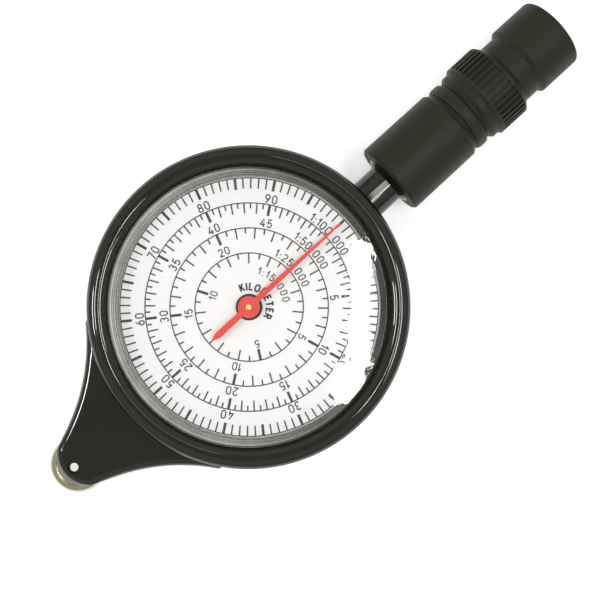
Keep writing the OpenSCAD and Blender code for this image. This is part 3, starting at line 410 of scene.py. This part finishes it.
# Each scale: name, last number, step of the numbers, baseline radius, capital height,
# and its ratio label with the gap between the label's characters
scales = [
    {"name": "numbersOuter", "count": 100, "step": 10, "radius": 14.5, "height": 1.25, "ratio": "1:100 000",
     "ratioGap": 0.18},
    {"name": "numbersSecond", "count": 50, "step": 5, "radius": 11.17, "height": 1.2, "ratio": "1:50 000",
     "ratioGap": 0.18},
    {"name": "numbersThird", "count": 25, "step": 5, "radius": 7.77, "height": 1.15, "ratio": "1:25 000",
     "ratioGap": 0.24},
    {"name": "numbersInner", "count": 15, "step": 5, "radius": 4.62, "height": 1.08, "ratio": "1:15 000",
     "ratioGap": 0.29},
]
unitWord = {"text": "KILOMETER", "radius": 2.27, "height": 1.03, "stroke": 0.24, "gap": 0.17}


def bow(x, y, across, up, start, end):
    # Points along part of an oval, from one angle to another
    stepAngle = 18
    steps = max(4, round(abs(end - start) / stepAngle))
    angles = [math.radians(start + (end - start) * i / steps) for i in range(steps + 1)]
    return [(x + across * math.cos(a), y + up * math.sin(a)) for a in angles]


# Plain upright sans letters, drawn as centre lines in a box of unit height: the width
# between the outer centre lines, then the strokes. A stroke that ends on the letter's top
# or foot runs on by half its own width, so that its end is level with the curves.
lettering = {
    "0": (0.46, [bow(0.23, 0.62, 0.23, 0.25, 0, 180) + bow(0.23, 0.25, 0.23, 0.25, 180, 360)
                 + [(0.46, 0.62)]]),
    "1": (0.22, [[(0, 0.64), (0.22, 0.87), (0.22, 0)]]),
    "2": (0.46, [bow(0.23, 0.63, 0.23, 0.24, 165, -30) + [(0.0, 0.02)], [(-0.04, 0), (0.5, 0)]]),
    "3": (0.46, [bow(0.22, 0.655, 0.21, 0.215, 150, -90), bow(0.22, 0.225, 0.24, 0.225, 90, -150)]),
    "4": (0.48, [[(0.32, 0.87), (0, 0.2), (0.5, 0.2)], [(0.36, 0.44), (0.36, -0.07)]]),
    "5": (0.46, [[(0.42, 0.87), (0.06, 0.87), (0.04, 0.45)] + bow(0.21, 0.27, 0.25, 0.27, 135, -150)]),
    "6": (0.46, [[(0.34, 0.93), (0.04, 0.4)], bow(0.23, 0.26, 0.23, 0.26, 0, 360)]),
    "7": (0.46, [[(-0.04, 0.87), (0.46, 0.87), (0.16, -0.07)]]),
    "8": (0.46, [bow(0.23, 0.225, 0.23, 0.225, 0, 360), bow(0.23, 0.66, 0.2, 0.21, 0, 360)]),
    "9": (0.46, [[(0.12, -0.06), (0.42, 0.47)], bow(0.23, 0.61, 0.23, 0.26, 0, 360)]),
    ":": (0.04, [[(0.02, -0.05), (0.02, 0.1)], [(0.02, 0.42), (0.02, 0.57)]]),
    "K": (0.46, [[(0, -0.07), (0, 0.94)], [(0.46, 0.94), (0.03, 0.34)], [(0.17, 0.5), (0.5, -0.07)]]),
    "I": (0.0, [[(0, -0.07), (0, 0.94)]]),
    "L": (0.36, [[(0, 0.94), (0, 0), (0.42, 0)]]),
    "O": (0.54, [bow(0.27, 0.6, 0.27, 0.27, 0, 180) + bow(0.27, 0.27, 0.27, 0.27, 180, 360)
                 + [(0.54, 0.6)]]),
    "M": (0.6, [[(0, -0.07), (0, 0.87), (0.3, 0.25), (0.6, 0.87), (0.6, -0.07)]]),
    "E": (0.36, [[(0.42, 0.87), (0, 0.87), (0, 0), (0.42, 0)], [(0, 0.45), (0.36, 0.45)]]),
    "T": (0.5, [[(-0.04, 0.87), (0.54, 0.87)], [(0.25, 0.87), (0.25, -0.07)]]),
    "R": (0.44, [[(0, -0.07), (0, 0.87)] + bow(0.22, 0.64, 0.22, 0.23, 90, -90) + [(0, 0.41)],
                 [(0.22, 0.41), (0.46, -0.07)]]),
}


def inkStroke(ink, points, width, place):
    # Lays a flat ribbon along a centre line, mitred at its corners. Points closer than
    # same are one point, and a mitre reaches out as at a corner whose cosine is sharpest.
    same = 1e-6
    sharpest = 0.35
    line = [Vector(point) for point in points]
    closed = (line[0] - line[-1]).length < same
    if closed:
        line = line[:-1]
    line = [p for i, p in enumerate(line) if i == 0 or (p - line[i - 1]).length > same]
    count = len(line)
    edges = []
    for i, point in enumerate(line):
        before = line[i - 1] if closed or i > 0 else point
        after = line[(i + 1) % count] if closed or i < count - 1 else point
        inward = (point - before).normalized() if point != before else (after - point).normalized()
        onward = (after - point).normalized() if after != point else inward
        side = Vector((-(inward + onward).y, (inward + onward).x)).normalized()
        reach = width / 2 / max(sharpest, side.dot(Vector((-inward.y, inward.x))))
        pair = (point + side * reach, point - side * reach)
        edges.append([ink.verts.new(place @ Vector((*corner, 0))) for corner in pair])
    for i in range(count if closed else count - 1):
        first, second = edges[i], edges[(i + 1) % count]
        ink.faces.new((first[0], first[1], second[1], second[0]))


def layText(ink, text, radius, height, angle, stroke, gap, curved):
    # Lays a text on the dial, centred at an angle clockwise from the zero of the scales.
    # A curved text follows its circle, and a straight one stands square on it.
    widths = [dialPrint["space"] if c == " " else lettering[c][0] + stroke for c in text]
    at = -(sum(widths) + gap * (len(text) - 1)) / 2
    for character, width in zip(text, widths):
        if character != " ":
            middle = (at + width / 2) * height
            turnBy = middle / (radius + height / 2) if curved else 0
            shift = 0 if curved else middle
            place = (Matrix.Rotation(-math.radians(angle) - turnBy, 4, "Z")
                     @ Matrix.Translation((shift * mm, radius * mm, dialPrint["face"] * mm))
                     @ Matrix.Scale(height * mm, 4)
                     @ Matrix.Translation(((stroke - width) / 2, stroke / 2, 0)))
            for points in lettering[character][1]:
                inkStroke(ink, points, stroke, place)
        at += width + gap


def inkPiece(name, ink):
    # Gives the flat letters their depth of ink and puts them on the case
    top = ink.faces[:]
    lift = Vector((0, 0, dialPrint["inkDepth"] * mm))
    made = bmesh.ops.extrude_face_region(ink, geom=top)
    bmesh.ops.translate(ink, vec=lift, verts=[v for v in made["geom"] if isinstance(v, bmesh.types.BMVert)])
    bmesh.ops.recalc_face_normals(ink, faces=ink.faces[:])
    mesh = bpy.data.meshes.new(name)
    ink.to_mesh(mesh)
    ink.free()
    mesh.materials.append(printInk)
    piece = bpy.data.objects.new(name, mesh)
    scene.collection.objects.link(piece)
    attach(piece, "case")


for scale in scales:
    ink = bmesh.new()
    for number in range(scale["step"], scale["count"], scale["step"]):
        layText(ink, str(number), scale["radius"], scale["height"], 360 * number / scale["count"],
                dialPrint["stroke"], dialPrint["gap"], False)
    layText(ink, scale["ratio"], scale["radius"], scale["height"], 0,
            dialPrint["stroke"], scale["ratioGap"], True)
    inkPiece(scale["name"], ink)
ink = bmesh.new()
layText(ink, unitWord["text"], unitWord["radius"], unitWord["height"], 0,
        unitWord["stroke"], unitWord["gap"], True)
inkPiece("unitWord", ink)
print("dial printed")


# White paper under the object. Its emission only shows to the eye, in reflections and
# through the acrylic, and the part that is lit keeps the object's soft shadow. It lies a
# hair below the case, so that the two faces never coincide.
paper = {"size": 1600, "colour": "#f4f4f4", "fibre": 0.6, "fibreDepth": 0.004, "glow": 0.44, "below": 0.02}

material, tree, place = newMaterial("whitePaper")
fibre = bumpOf(tree, noise(tree, place, paper["fibre"], 3), paper["fibreDepth"])
sheet = addNode(tree, "ShaderNodeBsdfDiffuse", {"Color": linearColour(paper["colour"])}, {"Normal": fibre})
rays = addNode(tree, "ShaderNodeLightPath").outputs
mirrored = calculate(tree, "MAXIMUM", rays["Is Glossy Ray"], rays["Is Transmission Ray"])
seen = calculate(tree, "MAXIMUM", rays["Is Camera Ray"], mirrored)
glowLevel = calculate(tree, "MULTIPLY", seen, paper["glow"])
glow = addNode(tree, "ShaderNodeEmission", {}, {"Strength": glowLevel})
both = addNode(tree, "ShaderNodeAddShader", {}, {0: sheet.outputs["BSDF"], 1: glow.outputs["Emission"]})
finishMaterial(tree, both.outputs["Shader"])

half = paper["size"] / 2 * mm
floorMesh = bpy.data.meshes.new("paperFloor")
corners = [(-half, -half, 0), (half, -half, 0), (half, half, 0), (-half, half, 0)]
floorMesh.from_pydata(corners, [], [(0, 1, 2, 3)])
floorMesh.materials.append(material)
floor = bpy.data.objects.new("paperFloor", floorMesh)
floor.location.z = cadBox[0].z - paper["below"] * mm
scene.collection.objects.link(floor)

# Soft boxes: width and length, place to the right of and below the middle of the
# picture, turn in degrees from the picture's upright, and brightness, where 1 is white.
# The first three make the broken white glare on the crystal, the windows the bright lines
# on the bezel and along the nose, and the strip the sheen along the stem.
lampHeight = 312
softBoxes = {
    "glareMiddle": {"across": 8, "along": 38, "right": 25, "down": 8.5, "turn": 0, "white": 40},
    "glareTop": {"across": 9, "along": 15, "right": 26.4, "down": -17.5, "turn": 0, "white": 40},
    "glareBottom": {"across": 12, "along": 16, "right": 20.6, "down": 35, "turn": 0, "white": 40},
    "rightWindow": {"across": 34, "along": 115, "right": 138, "down": 14, "turn": 0, "white": 18},
    "leftWindow": {"across": 30, "along": 50, "right": -150, "down": -3, "turn": 0, "white": 24},
    "noseWindow": {"across": 50, "along": 90, "right": -338, "down": 12, "turn": 0, "white": 36},
    "stemStrip": {"across": 290, "along": 10, "right": 92, "down": 15, "turn": -47.5, "white": 6.8},
}

for name, box in softBoxes.items():
    lampData = bpy.data.lights.new(name, "AREA")
    lampData.shape = "RECTANGLE"
    lampData.size = box["across"] * mm
    lampData.size_y = box["along"] * mm
    lampData.energy = math.pi * box["across"] * box["along"] * mm * mm * box["white"]
    lamp = bpy.data.objects.new(name, lampData)
    lamp.location = (underCamera + imageRight * box["right"] - imageUp * box["down"]
                     + Vector((0, 0, lampHeight))) * mm
    lamp.rotation_euler = (0, 0, turn + math.radians(box["turn"]))
    lamp.visible_camera = False
    scene.collection.objects.link(lamp)

# Pale room: dimmer near the floor and right above. The two ranges are heights in the
# room, from 0 at the horizon to 1 overhead, over which its brightness changes.
room = {"colour": "#ffffff", "above": 0.4, "sides": 0.675, "low": 0.42, "wallRange": (0.2, 0.5),
        "ceilingRange": (0.86, 0.95)}
world = bpy.data.worlds.new("paleStudio")
world.use_nodes = True
tree = world.node_tree
tree.nodes.clear()
way = addNode(tree, "ShaderNodeTexCoord").outputs["Generated"]
rise = addNode(tree, "ShaderNodeSeparateXYZ", {}, {"Vector": way}).outputs["Z"]
wall = spread(tree, rise, room["wallRange"], (room["low"], room["sides"]))
ceilingDrop = spread(tree, rise, room["ceilingRange"], (0, room["sides"] - room["above"]))
walls = addNode(tree, "ShaderNodeBackground", {"Color": linearColour(room["colour"])},
                {"Strength": calculate(tree, "SUBTRACT", wall, ceilingDrop)})
backdrop = addNode(tree, "ShaderNodeBackground", {"Color": linearColour("#ffffff"), "Strength": 1})
rays = addNode(tree, "ShaderNodeLightPath").outputs
picked = addNode(tree, "ShaderNodeMixShader", {},
                 {0: rays["Is Camera Ray"], 1: walls.outputs["Background"],
                  2: backdrop.outputs["Background"]})
addNode(tree, "ShaderNodeOutputWorld", {}, {"Surface": picked.outputs["Shader"]})
scene.world = world
print("floor and lamps set")
